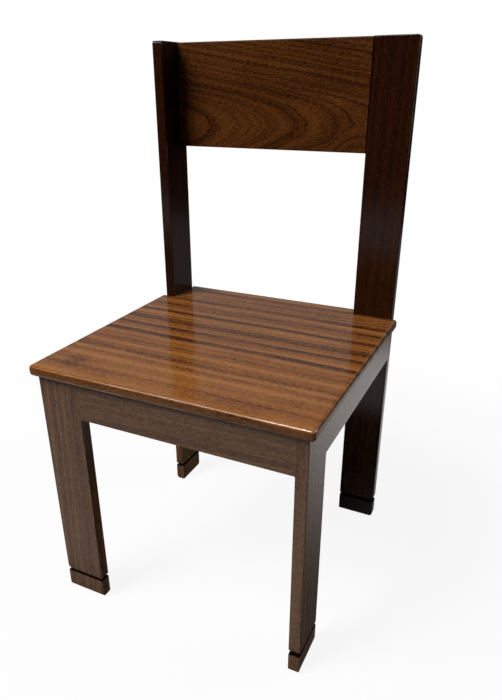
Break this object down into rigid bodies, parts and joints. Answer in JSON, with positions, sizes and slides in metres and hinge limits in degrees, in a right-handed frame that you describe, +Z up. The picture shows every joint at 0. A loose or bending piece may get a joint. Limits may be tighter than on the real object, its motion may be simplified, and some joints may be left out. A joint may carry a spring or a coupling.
{
  "type": "choir chair",
  "caption": "Solid-wood choir chair: plank legs set like a pinwheel, deep aprons between them, a notched slab seat with rounded edges, a wide back rail and foot blocks below shadow gaps.",
  "frame": {"origin": "on the floor, at the centre of the chair's bounding box seen from above", "axes": "+Z up; the chair faces -Y; +X is at the right of a viewer who faces the chair's front"},
  "size_m": [0.45, 0.45, 0.8715],
  "materials": {
    "seat_wood": "orange-brown mahogany with straight ribbon grain, polished to a gloss",
    "frame_wood": "dark red-brown mahogany with open pores, satin lacquer",
    "rail_wood": "olive-brown flat-sawn mahogany with a cathedral figure, satin lacquer",
    "foot_wood": "slightly redder mahogany, satin lacquer worn at the lower edges",
    "block_wood": "bare beech, sawn",
    "dowel_wood": "bare beech, fluted dowel",
    "screw_steel": "bright zinc-plated steel"
  },
  "bodies": {
    "root": {"seat": "seat_wood", "front_left_leg": "frame_wood", "front_right_leg": "frame_wood", "rear_right_post": "frame_wood", "rear_left_post": "frame_wood", "front_apron": "frame_wood", "right_apron": "frame_wood", "rear_apron": "frame_wood", "left_apron": "frame_wood", "back_rail": "rail_wood", "front_left_foot": "foot_wood", "front_right_foot": "foot_wood", "rear_right_foot": "foot_wood", "rear_left_foot": "foot_wood", "front_left_corner_block": "block_wood", "front_right_corner_block": "block_wood", "rear_right_corner_block": "block_wood", "rear_left_corner_block": "block_wood", "apron_dowels": "dowel_wood", "rail_dowels": "dowel_wood", "foot_dowels": "dowel_wood", "corner_block_screws": "screw_steel", "seat_screws": "screw_steel"}
  },
  "joints": []
}
